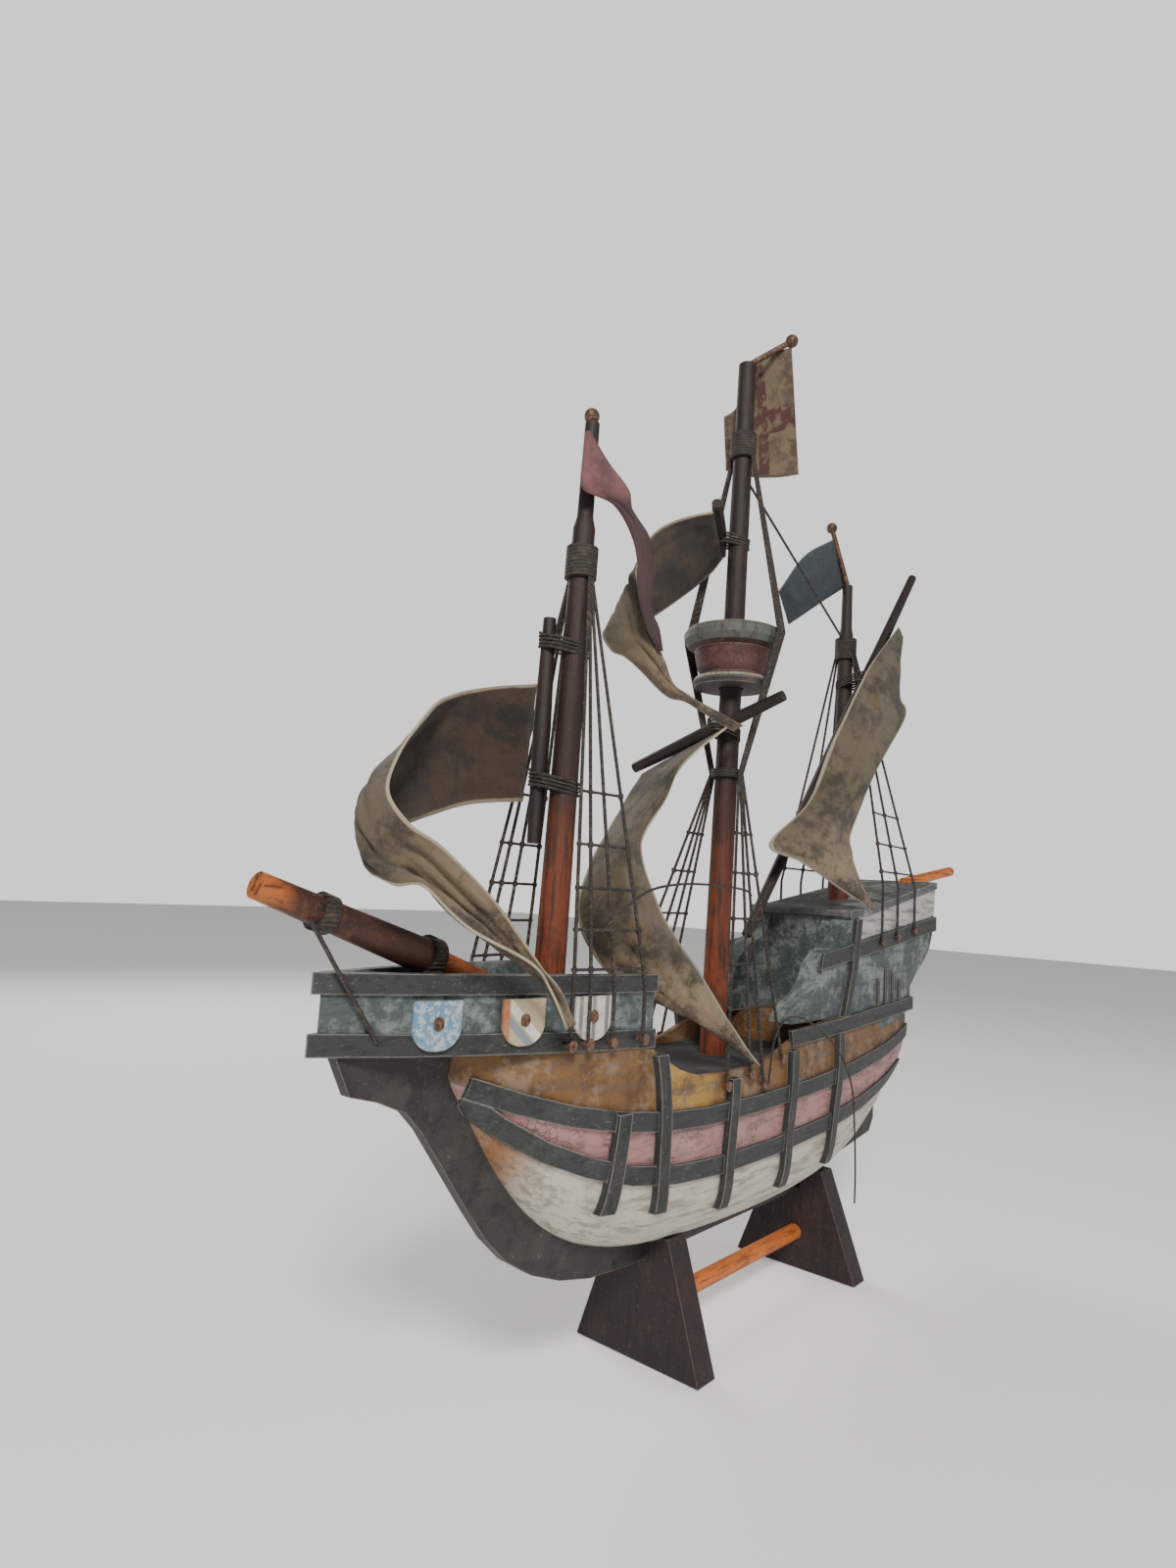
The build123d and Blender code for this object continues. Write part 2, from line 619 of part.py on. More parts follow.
def boomkin():
    return rod((260.0, -7.7, 211.2), (348.3, -7.7, 223.2), 3.6, 3.3)


# ---- free threads -------------------------------------------------------------------------
# A broken shroud end that springs up from its nail and hangs over the port side.
hanging_route = [(34.5, -36.3, 114.5), (37.0, -37.0, 133.0), (46.0, -37.4, 141.5), (60.0, -38.4, 141.5),
                 (78.0, -40.2, 134.0), (95.2, -42.0, 122.0), (107.0, -43.0, 104.9), (108.9, -44.0, 86.0),
                 (110.2, -44.4, 64.9), (111.1, -44.0, 49.2)]
thread_radius = 0.45


def free_thread(route, radius):
    """A limp thread as straight runs joined by arcs as large as the runs allow."""
    points = [Vector(*p) for p in route]
    radii = []
    for i in range(1, len(points) - 1):
        into, out = points[i] - points[i - 1], points[i + 1] - points[i]
        turn = radians(into.get_angle(out))
        radii.append(0.45 * min(into.length, out.length) / tan(turn / 2))
    print("thread radii", [round(r, 1) for r in radii])
    path = FilletPolyline(*points, radius=radii)
    start = Plane(origin=path @ 0, z_dir=path % 0)
    made = sweep(start * Circle(radius), path=path)
    print("thread length", round(path.length, 1), "volume error",
          round(made.volume / (pi * radius ** 2 * path.length) - 1, 4))
    return made


# ---- build every node ---------------------------------------------------------------------
hull = hull_form()
hull_out = hull_form(wale_thick)
hull_far = hull_form(rider_thick)

dowel = stand_dowel()
hull_clear = hull_form(fit_gap)
save("stand_board_front", cradle_board(0.0, board_foot, hull_clear, dowel))
save("stand_board_rear", cradle_board(board_pitch, rear_foot, hull_clear, dowel))
save("stand_dowel", dowel)

save("hull_block", hull_block(hull))
inner_hull = hull_form(-plank_thick)
waist_deck = inner_hull & side_prism(waist_profile, -40, 40)
save("waist_deck", waist_deck)
planks = (hull & side_prism(bulwark_profile, -40, 40)) - inner_hull
bulwark_port = planks & block((-60, -40, 100), (120, 0, 150))
save("waist_bulwark_port", bulwark_port)
save("waist_bulwark_starboard", mirror_y(bulwark_port))

upper_band = side_prism(wale_band(upper_wale_line, 7.6), -45, 0)
lower_band = side_prism(wale_band(lower_wale_line, 7.6), -45, 0)
keel = keel_and_stem(hull)
upper_wale = (hull_out & upper_band) - hull - keel
lower_wale = (hull_out & lower_band) - hull - keel - upper_wale
save("keel_and_stem", keel)
save("upper_wale_port", upper_wale)
save("upper_wale_starboard", mirror_y(upper_wale))
save("lower_wale_port", lower_wale)
save("lower_wale_starboard", mirror_y(lower_wale))

fore_deck = forecastle_deck() - hull
save("forecastle_deck", fore_deck)
save("forecastle_wall", forecastle_wall() - hull)
save("forecastle_bottom_rail", forecastle_rail(136.8, 143.8, bow_sheer) - hull)
save("forecastle_top_rail", forecastle_rail(157.8, castle_high, rail_sheer))
save("shields", shields())

side_port = castle_side(hull, bulwark_port)
low_strip = lower_strip(hull, side_port)
high_strip = outer_strip(upper_strip_profile, 1.7)
strap = outer_strip(quarter_strap_profile, 2.9) - high_strip - low_strip - hull
save("sterncastle_side_port", side_port)
save("sterncastle_side_starboard", mirror_y(side_port))
save("quarter_lower_strips", both_sides(low_strip))
save("quarter_upper_strips", both_sides(high_strip))
save("quarter_straps", both_sides(strap))
save("quarter_windows", both_sides(quarter_window()))
save("cabin_bulkhead", cabin_bulkhead())
save("transom_board", transom_board(boomkin()))

rider_set = []
for rider in riders:
    strap_band = side_prism(rider_band(*rider), -45, 0)
    rider_set.append((hull_far & strap_band) - hull - upper_wale - lower_wale - low_strip)
rider_set += [mirror_y(one) for one in rider_set]
save("riders", Compound(children=rider_set))

main_mast = mast(main_line, mast_radius, 4.6) - waist_deck
mizzen_mast = mast(mizzen_line, mast_radius, 4.2, 360.0)
save("fore_mast", mast(fore_line, mast_radius, 4.6, 342.0) - fore_deck)
save("main_mast", main_mast)
save("mizzen_mast", mizzen_mast)
save("poop_deck", poop_deck(mizzen_mast, boomkin()))
save("bowsprit", bowsprit())
save("boomkin", boomkin())
save("crows_nest", crows_nest())
save("lashings", lashings())
save("flag_finials", finials())

save("fore_shrouds", fore_shrouds())
save("main_shrouds", main_shrouds())
save("mizzen_shrouds", mizzen_shrouds())
save("stays", stays())
save("rail_nails", rail_nails())

save("fore_yard", yard(fore_yard_ends))
save("main_yard", yard(main_yard_ends))
save("topsail_yard", yard(topsail_yard_ends))
save("mizzen_yard", yard(mizzen_yard_ends))
save("fore_sail", ribbon(fore_sail_upper, fore_sail_lower))
save("main_sail", ribbon(main_sail_port, main_sail_starboard))
save("topsail", ribbon(topsail_upper, topsail_lower))
save("mizzen_sail", ribbon(mizzen_sail_head, mizzen_sail_leech))
save("fore_flag", ribbon(fore_flag_hoist, fore_flag_fly, 0.8))
save("main_flag", ribbon(main_flag_top, main_flag_foot, 0.8))
save("mizzen_flag", ribbon(mizzen_flag_hoist, mizzen_flag_foot, 0.8))
save("hanging_thread", free_thread(hanging_route, thread_radius))
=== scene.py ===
"""A hand-made wooden galleon on its cradle. Metres, +Z up, bow towards -X, port side towards -Y."""
import math

import bpy
import numpy as np
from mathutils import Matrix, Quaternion, Vector, noise


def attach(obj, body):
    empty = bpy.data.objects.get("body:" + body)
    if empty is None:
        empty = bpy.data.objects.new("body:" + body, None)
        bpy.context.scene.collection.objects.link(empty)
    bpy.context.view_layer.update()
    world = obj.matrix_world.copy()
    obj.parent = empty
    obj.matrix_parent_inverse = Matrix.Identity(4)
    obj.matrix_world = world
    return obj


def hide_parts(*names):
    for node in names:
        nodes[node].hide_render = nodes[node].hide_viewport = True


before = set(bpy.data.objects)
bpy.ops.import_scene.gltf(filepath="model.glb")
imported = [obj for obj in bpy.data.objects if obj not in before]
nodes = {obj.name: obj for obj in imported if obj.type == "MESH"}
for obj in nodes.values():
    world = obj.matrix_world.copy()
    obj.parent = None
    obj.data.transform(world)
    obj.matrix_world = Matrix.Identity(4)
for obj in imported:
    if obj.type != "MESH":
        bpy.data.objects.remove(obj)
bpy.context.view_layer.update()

# ---- Camera, light and floor ---------------------------------------------------------------
# A wide lens close to the port bow, with the eye just above the deck. A small strong lamp from
# the upper left, a weak one from the right and one from behind, over a pale floor. The sky
# lights the ship faintly and shows bright.
def in_scene(name, data):
    made = bpy.data.objects.new(name, data)
    bpy.context.scene.collection.objects.link(made)
    return made


camera = in_scene("camera", bpy.data.cameras.new("camera"))
bpy.context.scene.camera = camera
camera.data.lens = 20.8
camera.data.clip_start = 0.01
yaw, pitch, roll = (math.radians(v) for v in (49.4, 6.45, 3.4))
gaze = Vector((math.sin(yaw) * math.cos(pitch), math.cos(yaw) * math.cos(pitch), math.sin(pitch)))
camera.location = (-0.3366, -0.2387, 0.1965)
camera.rotation_mode = "QUATERNION"
camera.rotation_quaternion = gaze.to_track_quat("-Z", "Y") @ Quaternion((0, 0, 1), roll)


def lamp(name, place, target, size, power, colour):
    """A square area lamp here, aimed at the target. size is its side."""
    made = in_scene(name, bpy.data.lights.new(name, "AREA"))
    made.data.size = size
    made.data.energy = power
    made.data.color = colour
    made.location = place
    made.rotation_mode = "QUATERNION"
    made.rotation_quaternion = (Vector(target) - Vector(place)).to_track_quat("-Z", "Y")


middle = (0.05, 0.0, 0.2)
lamp("key", (-0.85, -0.75, 1.0), middle, 0.3, 19, (1.0, 0.98, 0.95))
lamp("fill", (0.9, -0.9, 0.45), middle, 0.8, 2.5, (0.93, 0.96, 1.0))
lamp("back", (0.3, 1.1, 0.8), middle, 0.6, 7, (1.0, 0.98, 0.96))
world = bpy.data.worlds.new("studio")
bpy.context.scene.world = world
world.use_nodes = True
sky = world.node_tree.nodes["Background"]
sky.inputs["Color"].default_value = (1, 1, 1, 1)
sky_light, sky_seen = 0.25, 1.15
seen = world.node_tree.nodes.new("ShaderNodeLightPath")
level = world.node_tree.nodes.new("ShaderNodeMapRange")
level.inputs["To Min"].default_value = sky_light
level.inputs["To Max"].default_value = sky_seen
world.node_tree.links.new(seen.outputs["Is Camera Ray"], level.inputs["Value"])
world.node_tree.links.new(level.outputs[0], sky.inputs["Strength"])

floor_half, floor_drop, floor_glow = 4.0, 0.0004, 0.22
floor_mesh = bpy.data.meshes.new("floor")
corners = [(-1, -1), (1, -1), (1, 1), (-1, 1)]
floor_corners = [(x * floor_half, y * floor_half, -floor_drop) for x, y in corners]
floor_mesh.from_pydata(floor_corners, [], [(0, 1, 2, 3)])
floor = in_scene("floor", floor_mesh)
floor_paint = bpy.data.materials.new("floor")
floor_paint.use_nodes = True
floor_shader = floor_paint.node_tree.nodes["Principled BSDF"]
floor_shader.inputs["Base Color"].default_value = (0.90, 0.90, 0.89, 1)
floor_shader.inputs["Roughness"].default_value = 0.9
floor_shader.inputs["Emission Color"].default_value = (1, 1, 1, 1)
floor_shader.inputs["Emission Strength"].default_value = floor_glow
floor_mesh.materials.append(floor_paint)


# ---- Cradle --------------------------------------------------------------------------------
# Two tapered boards stained almost black, with raw scratches along their sawn edges, and an
# orange pine dowel driven between them. Stained wood is one shader group with its own values.
class Wiring:
    """Adds nodes to one tree and joins them."""

    def __init__(self, tree):
        self.tree = tree

    def add(self, kind, inputs=None, **settings):
        """A new node. Each input takes another node's output or a plain value."""
        made = self.tree.nodes.new(kind)
        for key, value in settings.items():
            setattr(made, key, value)
        for key, value in (inputs or {}).items():
            if isinstance(value, bpy.types.NodeSocket):
                self.tree.links.new(value, made.inputs[key])
            else:
                made.inputs[key].default_value = value
        return made

    def math(self, operation, a, b=0.0, c=0.0):
        return self.add("ShaderNodeMath", {0: a, 1: b, 2: c}, operation=operation).outputs[0]

    def mix(self, share, a, b):
        """Colour a where share is 0 and colour b where it is 1."""
        made = self.add("ShaderNodeMix", {0: share, 6: opaque(a), 7: opaque(b)}, data_type="RGBA")
        return made.outputs[2]

    def noise(self, vector, scale, detail=4.0, rough=0.6):
        values = {"Vector": vector, "Scale": scale, "Detail": detail, "Roughness": rough}
        return self.add("ShaderNodeTexNoise", values).outputs["Fac"]

    def ramp(self, value, low, high):
        """0 below low and 1 above high, smooth between."""
        values = {"Value": value, "From Min": low, "From Max": high}
        return self.add("ShaderNodeMapRange", values, interpolation_type="SMOOTHSTEP").outputs[0]

    def place(self):
        return self.add("ShaderNodeTexCoord").outputs["Object"]

    def cut(self):
        """Where a point lies on its flat sheet: 0 to 1 across it, and 0 to 1 from its head."""
        return self.add("ShaderNodeUVMap", uv_map="cut").outputs[0]

    def stretched(self, vector, by):
        made = self.add("ShaderNodeVectorMath", {0: vector, 1: by}, operation="MULTIPLY")
        return made.outputs[0]

    def finish(self, shader, colour, height, distance, strength):
        """Gives the shader this colour, and a bump from this height."""
        self.tree.links.new(colour, shader.inputs["Base Color"])
        relief = {"Height": height, "Distance": distance, "Strength": strength}
        self.tree.links.new(self.add("ShaderNodeBump", relief).outputs[0], shader.inputs["Normal"])

    def xyz(self, vector):
        return self.add("ShaderNodeSeparateXYZ", {0: vector}).outputs


def opaque(colour):
    return colour if isinstance(colour, bpy.types.NodeSocket) else (*colour, 1.0)


def blank_material(name):
    """A new material, its wiring and its Principled shader."""
    made = bpy.data.materials.new(name)
    made.use_nodes = True
    return made, Wiring(made.node_tree), made.node_tree.nodes["Principled BSDF"]


def shader_group(name, inputs, outputs):
    """An empty group with these sockets, its wiring, and its two end nodes."""
    tree = bpy.data.node_groups.new(name, "ShaderNodeTree")
    for side, sockets in (("INPUT", inputs), ("OUTPUT", outputs)):
        for label, kind in sockets:
            tree.interface.new_socket(name=label, in_out=side, socket_type="NodeSocket" + kind)
    ends = tree.nodes.new("NodeGroupInput").outputs, tree.nodes.new("NodeGroupOutput").inputs
    return tree, Wiring(tree), *ends


aged_wood, w, given, result = shader_group(
    "aged wood",
    [("Base", "Color"), ("Grain", "Color"), ("Blotch", "Color"), ("Worn", "Color"),
     ("Stretch", "Vector"), ("Grain scale", "Float"), ("Blotch scale", "Float"),
     ("Grain amount", "Float"), ("Blotch amount", "Float"), ("Edge width", "Float"),
     ("Scratches", "Float")],
    [("Color", "Color"), ("Height", "Float"), ("Dull", "Float")],
)
place = w.place()
along = w.stretched(place, given["Stretch"])
grain = w.noise(along, given["Grain scale"], 7.0, 0.68)
fine = w.noise(along, w.math("MULTIPLY", given["Grain scale"], 3.1), 3.0, 0.7)
grain_mask = w.math("MULTIPLY", w.ramp(grain, 0.47, 0.62), given["Grain amount"])
colour = w.mix(grain_mask, given["Base"], given["Grain"])
blot = w.noise(place, given["Blotch scale"], 9.0, 0.72)
blot_mask = w.math("MULTIPLY", w.ramp(blot, 0.50, 0.60), given["Blotch amount"])
colour = w.mix(blot_mask, colour, given["Blotch"])
speck = w.ramp(w.noise(place, 900.0, 3.0, 0.7), 0.63, 0.70)
scratch = w.math("MULTIPLY", w.ramp(fine, 0.62, 0.70), w.ramp(blot, 0.42, 0.58))
scratch = w.math("MULTIPLY", w.math("MAXIMUM", scratch, speck), given["Scratches"])
colour = w.mix(scratch, colour, given["Worn"])
bevel = w.add("ShaderNodeBevel", {"Radius": given["Edge width"]}, samples=4).outputs[0]
flat = w.add("ShaderNodeNewGeometry").outputs["Normal"]
turn = w.add("ShaderNodeVectorMath", {0: bevel, 1: flat}, operation="DOT_PRODUCT").outputs["Value"]
sharp = w.ramp(w.math("SUBTRACT", 1.0, turn), 0.02, 0.16)
edge = w.math("MULTIPLY", sharp, w.ramp(grain, 0.30, 0.52))
colour = w.mix(edge, colour, given["Worn"])
w.tree.links.new(colour, result["Color"])
w.tree.links.new(w.math("ADD", grain, w.math("MULTIPLY", blot, 0.6)), result["Height"])
w.tree.links.new(w.math("MULTIPLY_ADD", blot, 0.25, 0.52), result["Dull"])

along_x, along_y, along_z = (0.09, 1, 1), (1, 0.09, 1), (1, 1, 0.07)


def wood(name, base, grain, blotch, worn, stretch=along_x, grain_scale=420.0, blotch_scale=60.0,
         grain_amount=0.7, blotch_amount=0.5, edge_width=0.0006, scratches=0.35, bump=0.00045):
    """One stained or painted wood. base may be a function that wires its colour."""
    made, wires, shader = blank_material(name)
    values = {
        "Base": base(wires) if callable(base) else opaque(base), "Grain": opaque(grain),
        "Blotch": opaque(blotch), "Worn": opaque(worn), "Stretch": stretch,
        "Grain scale": grain_scale, "Blotch scale": blotch_scale, "Grain amount": grain_amount,
        "Blotch amount": blotch_amount, "Edge width": edge_width, "Scratches": scratches,
    }
    group = wires.add("ShaderNodeGroup", values, node_tree=aged_wood)
    wires.tree.links.new(group.outputs["Dull"], shader.inputs["Roughness"])
    wires.finish(shader, group.outputs["Color"], group.outputs["Height"], bump, 0.9)
    return made


def finish_node(material, *names):
    for name in names:
        nodes[name].data.materials.clear()
        nodes[name].data.materials.append(material)


black_stain = wood("black stain", (0.018, 0.008, 0.007), (0.006, 0.003, 0.003), (0.036, 0.015, 0.012),
                   (0.20, 0.13, 0.10), stretch=along_z, scratches=0.45)
finish_node(black_stain, "stand_board_front", "stand_board_rear")
orange_pine = wood("orange pine", (0.62, 0.16, 0.025), (0.10, 0.022, 0.008), (0.30, 0.07, 0.015),
                   (0.75, 0.33, 0.10), grain_scale=520.0, blotch_scale=30.0, blotch_amount=0.3)
finish_node(orange_pine, "stand_dowel", "boomkin")

# ---- Hull ----------------------------------------------------------------------------------
# One carved block painted in bands between the wales: bare chalky white below, dusty pink,
# then rusty ochre under the rail. The keel and stem are one dark sawn board.
# The part of the hull that the wales' two curves cover, and their points in millimetres
run_low, run_span, height_low, height_span = -0.125, 0.355, 0.080, 0.060
upper_wale = [(-119, 126.5), (-84, 115.6), (-36, 108.0), (-8, 106.2), (30, 105.8), (80, 106.8),
              (130, 109.6), (180, 114.6), (226, 121.4)]
lower_wale = [(-119, 122.0), (-106, 112.0), (-90, 102.8), (-72, 95.6), (-50, 89.4), (-24, 85.6),
              (30, 83.8), (100, 85.4), (150, 89.2), (195, 94.6), (226, 99.6)]


def wale_height(wires, x, line):
    """The height of a wale's middle at this distance along the hull."""
    curve = wires.add("ShaderNodeFloatCurve", {
        "Value": wires.math("DIVIDE", wires.math("SUBTRACT", x, run_low), run_span)})
    points = curve.mapping.curves[0].points
    spots = [((a / 1000 - run_low) / run_span, (b / 1000 - height_low) / height_span) for a, b in line]
    points[0].location, points[1].location = spots[0], spots[-1]
    for spot in spots[1:-1]:
        points.new(*spot)
    curve.mapping.update()
    return wires.math("MULTIPLY_ADD", curve.outputs[0], height_span, height_low)


def hull_bands(wires):
    place = wires.place()
    x, _, z = wires.xyz(place)
    cells = wires.add("ShaderNodeTexVoronoi", {"Vector": place, "Scale": 420.0},
                      feature="DISTANCE_TO_EDGE")
    cracks = wires.ramp(cells.outputs["Distance"], 0.10, 0.02)
    broken = wires.math("MULTIPLY", cracks, wires.ramp(wires.noise(place, 90.0), 0.45, 0.6))
    white = wires.mix(wires.ramp(x, -0.082, -0.104), (0.56, 0.51, 0.43), (0.27, 0.12, 0.045))
    pink = wires.mix(wires.math("MULTIPLY", broken, 0.8), (0.40, 0.20, 0.195), (0.10, 0.05, 0.045))
    patch = wires.math("MULTIPLY", wires.ramp(x, -0.050, -0.036), wires.ramp(x, 0.004, -0.012))
    ochre = wires.mix(patch, (0.19, 0.090, 0.026), (0.40, 0.22, 0.045))
    rust = wires.ramp(wires.noise(place, 70.0, 8.0, 0.75), 0.45, 0.62)
    ochre = wires.mix(wires.math("MULTIPLY", rust, 0.75), ochre, (0.075, 0.030, 0.013))
    over_lower = wires.math("GREATER_THAN", z, wale_height(wires, x, lower_wale))
    over_upper = wires.math("GREATER_THAN", z, wale_height(wires, x, upper_wale))
    return wires.mix(over_upper, wires.mix(over_lower, white, pink), ochre)


hull_paint = wood("hull paint", hull_bands, (0.10, 0.072, 0.052), (0.50, 0.45, 0.38), (0.10, 0.08, 0.065),
                  stretch=(0.10, 1, 0.8), grain_scale=300.0, blotch_scale=75.0, grain_amount=0.55,
                  blotch_amount=0.18, scratches=0.5, bump=0.0008)
finish_node(hull_paint, "hull_block", "waist_bulwark_port", "waist_bulwark_starboard")
dark_board = wood("dark board", (0.030, 0.027, 0.025), (0.010, 0.009, 0.008), (0.060, 0.050, 0.042),
                  (0.23, 0.17, 0.12), stretch=(0.25, 1, 0.25), scratches=0.5, bump=0.0006)
finish_node(dark_board, "keel_and_stem")
deck_wash = wood("deck wash", (0.036, 0.038, 0.037), (0.014, 0.015, 0.015), (0.085, 0.088, 0.085),
                 (0.25, 0.25, 0.23), scratches=0.4)
finish_node(deck_wash, "waist_deck", "forecastle_deck")

# ---- Wales, riders and strips --------------------------------------------------------------
# Thin strips bent round the hull and painted charcoal, rubbed pale along their edges. The
# riders are flat straps that hump over the wales.
charcoal = wood("charcoal strip", (0.028, 0.030, 0.029), (0.010, 0.011, 0.011), (0.055, 0.058, 0.055),
                (0.26, 0.25, 0.22), edge_width=0.0008, scratches=0.45)
finish_node(charcoal, "upper_wale_port", "upper_wale_starboard", "lower_wale_port", "lower_wale_starboard",
            "forecastle_bottom_rail", "forecastle_top_rail", "quarter_lower_strips", "quarter_upper_strips")
strap_charcoal = wood("charcoal strap", (0.025, 0.026, 0.025), (0.009, 0.009, 0.009), (0.050, 0.047, 0.042),
                      (0.30, 0.28, 0.25), stretch=along_z, edge_width=0.0008, scratches=0.45)
finish_node(strap_charcoal, "riders", "quarter_straps", "quarter_windows")

# ---- Castles -------------------------------------------------------------------------------
# Boards painted grey-green over white, streaked and rubbed. The poop's top band is white and
# peeling above the upper strip, whose top edge rises towards the stern.
strip_x, strip_z, strip_rise = 0.095, 0.1708, 0.117
band_front, band_blend = 0.140, 0.002


def castle_colour(wires):
    place = wires.place()
    x, _, z = wires.xyz(place)
    chalk = wires.ramp(wires.noise(place, 55.0, 10.0, 0.75), 0.48, 0.58)
    green = wires.mix(chalk, (0.062, 0.080, 0.078), (0.175, 0.205, 0.20))
    strip_top = wires.math("MULTIPLY_ADD", wires.math("SUBTRACT", x, strip_x), strip_rise, strip_z)
    above = wires.ramp(z, strip_top, wires.math("ADD", strip_top, 0.001))
    band = wires.math("MULTIPLY", above, wires.ramp(x, band_front - band_blend, band_front + band_blend))
    return wires.mix(wires.math("MULTIPLY", band, 0.85), green, (0.56, 0.54, 0.49))


castle_paint = wood("castle paint", castle_colour, (0.030, 0.036, 0.034), (0.36, 0.375, 0.345),
                    (0.10, 0.10, 0.09), grain_scale=330.0, blotch_scale=95.0, grain_amount=0.6,
                    blotch_amount=0.3, scratches=0.5, bump=0.0006)
finish_node(castle_paint, "forecastle_wall", "sterncastle_side_port", "sterncastle_side_starboard",
            "transom_board", "cabin_bulkhead")
poop_wash = wood("poop wash", (0.085, 0.088, 0.085), (0.055, 0.055, 0.052), (0.33, 0.33, 0.31),
                 (0.42, 0.41, 0.37), grain_scale=300.0, blotch_amount=0.5)
finish_node(poop_wash, "poop_deck")

# ---- Shields -------------------------------------------------------------------------------
# Three little thin boards on each side, painted by hand: speckled blue, cream with a white
# bend and an orange edge, and white with dark upright marks.
first_gap, second_gap, bend_place = -0.1253, -0.0947, -0.0402
bar_middle, bar_spacing, bar_width = -0.0798, 0.003, 0.0009


def shield_colours(wires):
    place = wires.place()
    x, _, z = wires.xyz(place)
    fleck = wires.ramp(wires.noise(place, 500.0, 5.0, 0.7), 0.5, 0.56)
    blue = wires.mix(fleck, (0.13, 0.25, 0.36), (0.50, 0.60, 0.64))
    slope = wires.math("ADD", z, wires.math("ADD", x, bend_place))
    bend = wires.math("LESS_THAN", wires.math("ABSOLUTE", slope), 0.0022)
    stripe = wires.math("LESS_THAN", wires.math("ABSOLUTE", wires.math("ADD", slope, 0.0052)), 0.0018)
    cream = wires.mix(bend, (0.50, 0.40, 0.26), (0.72, 0.70, 0.62))
    cream = wires.mix(stripe, cream, (0.20, 0.26, 0.30))
    cream = wires.mix(wires.ramp(x, -0.1145, -0.1165), cream, (0.40, 0.13, 0.04))
    across = wires.math("PINGPONG", wires.math("SUBTRACT", x, bar_middle), bar_spacing)
    bars = wires.math("LESS_THAN", across, bar_width)
    white = wires.mix(wires.math("MULTIPLY", bars, 0.75), (0.62, 0.60, 0.54), (0.07, 0.06, 0.06))
    rear = wires.mix(wires.math("GREATER_THAN", x, second_gap), cream, white)
    return wires.mix(wires.math("LESS_THAN", x, first_gap), rear, blue)


shield_paint = wood("shield paint", shield_colours, (0.25, 0.20, 0.15), (0.45, 0.40, 0.33),
                    (0.30, 0.22, 0.15), stretch=(1, 1, 1), grain_scale=500.0, blotch_scale=180.0,
                    grain_amount=0.35, blotch_amount=0.35, edge_width=0.0004)
finish_node(shield_paint, "shields")

# ---- Masts, yards and bowsprit -------------------------------------------------------------
# Round pine spars. The stain has worn to orange-red at the feet of the masts and is nearly
# black aloft; the bowsprit's whittled heel and tip are raw orange.
def mast_colour(wires):
    z = wires.xyz(wires.place())[2]
    patches = wires.math("MULTIPLY_ADD", wires.noise(wires.place(), 28.0), 0.09, z)
    lower = wires.mix(wires.ramp(patches, 0.21, 0.30), (0.21, 0.040, 0.009), (0.022, 0.007, 0.004))
    return wires.mix(wires.ramp(patches, 0.36, 0.42), lower, (0.014, 0.007, 0.005))


mast_stain = wood("mast stain", mast_colour, (0.022, 0.010, 0.007), (0.030, 0.014, 0.010), (0.20, 0.10, 0.06),
                  stretch=along_z, grain_scale=520.0, grain_amount=0.85, scratches=0.25)
finish_node(mast_stain, "fore_mast", "main_mast", "mizzen_mast")
yard_stain = wood("yard stain", (0.016, 0.008, 0.006), (0.006, 0.004, 0.003), (0.040, 0.016, 0.010),
                  (0.17, 0.09, 0.05), stretch=(0.5, 0.5, 0.12), scratches=0.3)
finish_node(yard_stain, "fore_yard", "main_yard", "topsail_yard", "mizzen_yard")


def bowsprit_colour(wires):
    x = wires.xyz(wires.place())[0]
    raw = wires.math("MAXIMUM", wires.ramp(x, -0.134, -0.131), wires.ramp(x, -0.187, -0.196))
    return wires.mix(raw, (0.050, 0.016, 0.008), (0.42, 0.11, 0.022))


bowsprit_stain = wood("bowsprit stain", bowsprit_colour, (0.020, 0.010, 0.007), (0.16, 0.05, 0.018),
                      (0.42, 0.16, 0.05), stretch=(0.10, 1, 0.6), grain_scale=480.0, grain_amount=0.8)
finish_node(bowsprit_stain, "bowsprit")

# ---- Crow's nest ---------------------------------------------------------------------------
# A turned bowl, maroon between a grey-green rolled rim and a dark foot with a pale line.
rim_foot, line_top, line_foot = 0.3195, 0.3040, 0.3027


def nest_colour(wires):
    z = wires.xyz(wires.place())[2]
    bowl = wires.mix(wires.ramp(z, rim_foot, rim_foot + 0.0007), (0.060, 0.016, 0.014), (0.085, 0.095, 0.080))
    foot = wires.mix(wires.math("GREATER_THAN", z, line_top), (0.30, 0.28, 0.22), bowl)
    return wires.mix(wires.math("LESS_THAN", z, line_foot), foot, (0.035, 0.034, 0.030))


nest_paint = wood("nest paint", nest_colour, (0.03, 0.02, 0.018), (0.16, 0.07, 0.06), (0.36, 0.33, 0.27),
                  stretch=(1, 1, 0.2), blotch_amount=0.35, edge_width=0.0008)
finish_node(nest_paint, "crows_nest")

# ---- Nails and finials ---------------------------------------------------------------------
# Flat-headed nails gone copper-brown, and bronze-painted beads on the flag pins.
def old_metal(name, colour, tarnish, roughness, metallic):
    made, wires, shader = blank_material(name)
    spots = wires.noise(wires.place(), 700.0, 6.0, 0.7)
    shader.inputs["Metallic"].default_value = metallic
    shader.inputs["Roughness"].default_value = roughness
    wires.finish(shader, wires.mix(wires.ramp(spots, 0.42, 0.60), colour, tarnish), spots, 0.0003, 0.7)
    return made


finish_node(old_metal("nail head", (0.24, 0.12, 0.075), (0.06, 0.035, 0.03), 0.55, 0.5), "rail_nails")
finish_node(old_metal("bronze bead", (0.16, 0.085, 0.040), (0.035, 0.020, 0.014), 0.48, 0.35), "flag_finials")

